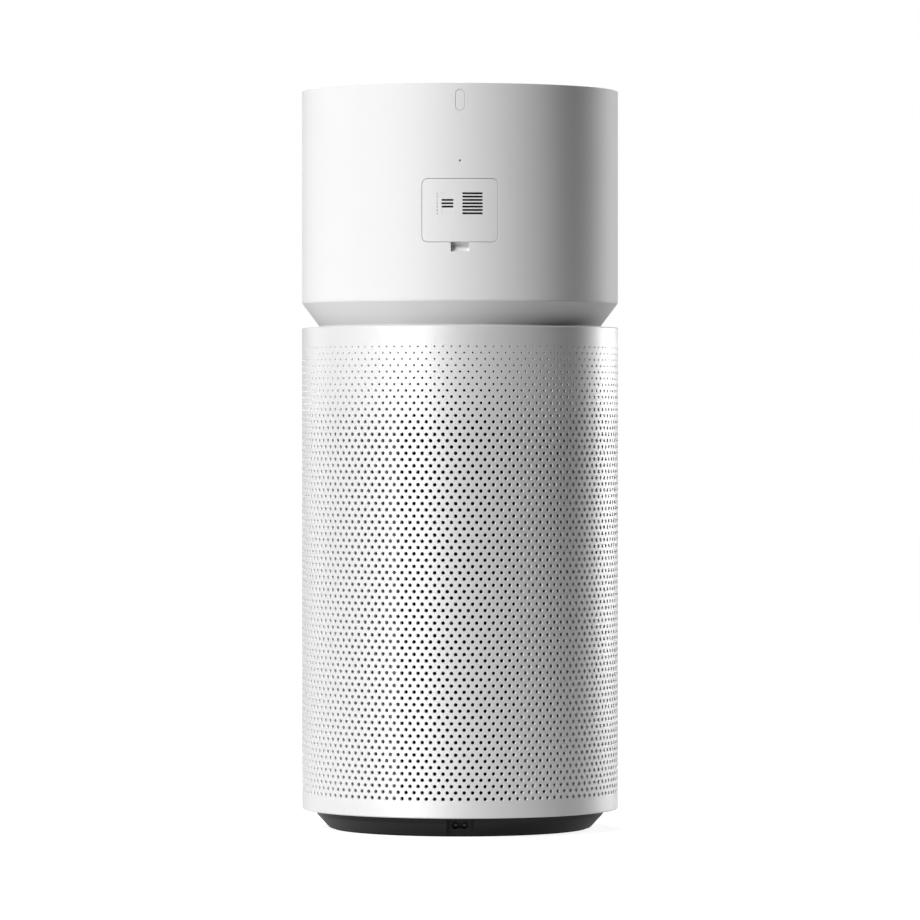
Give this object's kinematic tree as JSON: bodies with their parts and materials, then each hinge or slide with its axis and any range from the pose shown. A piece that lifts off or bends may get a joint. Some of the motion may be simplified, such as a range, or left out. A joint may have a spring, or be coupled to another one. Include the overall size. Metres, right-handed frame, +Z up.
{
  "type": "air purifier",
  "caption": "Tall round floor-standing air purifier: perforated lower shells round a pull-out filter, a narrow neck, an upper fan housing and a black base tray.",
  "frame": {"origin": "on the floor, under the middle of the round body", "axes": "+Z up along the fan's axis, -Y towards the front with the filter door, +Y towards the rear with the mains inlet, +X to the right seen from the front"},
  "size_m": [0.308, 0.308, 0.7172],
  "materials": {
    "housing_white": "fine-textured matt white moulding",
    "shell_white": "smooth satin white, perforated",
    "grille_grey": "satin grey moulding",
    "black_plastic": "satin black moulding",
    "inner_plastic": "matt dark grey moulding",
    "frame_plastic": "matt light grey moulding",
    "wheel_plastic": "satin grey glass-filled moulding",
    "circuit_board": "green solder resist",
    "switch_black": "moulded switch case",
    "screw_steel": "zinc-plated",
    "motor_steel": "pressed steel",
    "bearing_steel": "polished",
    "winding_copper": "enamelled copper on a steel core",
    "magnet_grey": "sintered magnet",
    "brass": "turned",
    "plated_pin": "nickel-plated",
    "rubber": "matt",
    "gasket_rubber": "soft moulded rubber",
    "filter_plastic": "matt moulding",
    "screen_plastic": "fine moulded mesh",
    "carbon": "bonded carbon granules",
    "pleat_paper": "pleated filter paper",
    "tab_rubber": "flexible moulding",
    "display_black": "smoked, polished",
    "bezel_metal": "satin anodised"
  },
  "bodies": {
    "root": {"foot_ring": "rubber", "base_tray": "black_plastic", "inlet_recess": "black_plastic", "mains_inlet": "black_plastic", "inlet_pins": "plated_pin", "power_board": "circuit_board", "power_board_screws": "screw_steel", "filter_platform": "inner_plastic", "platform_screws": "screw_steel", "side_post_left": "frame_plastic", "side_post_right": "frame_plastic", "rear_rib_left": "frame_plastic", "rear_rib_right": "frame_plastic", "catch_plates": "screw_steel", "rear_shell": "shell_white", "upper_deck": "inner_plastic", "deck_screws": "screw_steel", "neck_cone": "housing_white", "upper_housing": "housing_white", "top_cover": "housing_white", "outlet_grille": "grille_grey", "grille_cap": "grille_grey", "fan_duct": "inner_plastic", "diffuser": "inner_plastic", "motor_mount": "motor_steel", "motor_can": "motor_steel", "motor_core": "winding_copper", "lower_bearing": "bearing_steel", "upper_bearing": "bearing_steel", "motor_screws": "screw_steel", "sensor_bay": "housing_white", "particle_sensor": "inner_plastic", "gas_sensor": "circuit_board", "board_bracket": "inner_plastic", "main_board": "circuit_board", "reset_switch": "switch_black", "switch_board": "circuit_board", "button_switch": "switch_black", "board_screws": "screw_steel", "display_window": "display_black", "display_bezel": "bezel_metal", "display_board": "circuit_board", "inner_lead": "rubber"},
    "filter_door": {"front_shell": "shell_white", "door_magnets": "magnet_grey"},
    "filter": {"filter_base_cap": "filter_plastic", "filter_top_cap": "filter_plastic", "filter_gasket": "gasket_rubber", "dust_screen": "screen_plastic", "carbon_sleeve": "carbon", "filter_pleats": "pleat_paper", "pull_tab": "tab_rubber"},
    "fan": {"fan_wheel": "wheel_plastic", "motor_shaft": "motor_steel", "rotor_magnet": "magnet_grey", "lock_nut": "brass"},
    "sensor_cover": {"sensor_cover": "housing_white", "cover_screen": "screen_plastic"},
    "rear_button": {"rear_button": "housing_white"}
  },
  "joints": [
    {"name": "door_slide", "type": "slide", "parent": "root", "child": "filter_door", "axis": [0, -1, 0], "range_m": [0, 0.45]},
    {"name": "filter_slide", "type": "slide", "parent": "root", "child": "filter", "axis": [0, -1, 0], "range_m": [0, 0.3]},
    {"name": "fan_spin", "type": "hinge", "parent": "root", "child": "fan", "pos_m": [0, 0, 0.6], "axis": [0, 0, 1], "continuous": true},
    {"name": "sensor_cover_hinge", "type": "hinge", "parent": "root", "child": "sensor_cover", "pos_m": [0, 0.154, 0.6263], "axis": [1, 0, 0], "range_deg": [0, 60]},
    {"name": "rear_button_press", "type": "slide", "parent": "root", "child": "rear_button", "axis": [0, -1, 0], "range_m": [0, 0.0008], "stiffness_N_per_m": 1500, "springref_m": -0.0004}
  ],
  "couplings": [
    {"joint": "filter_slide", "follows": "door_slide", "ratio": 0.66}
  ]
}
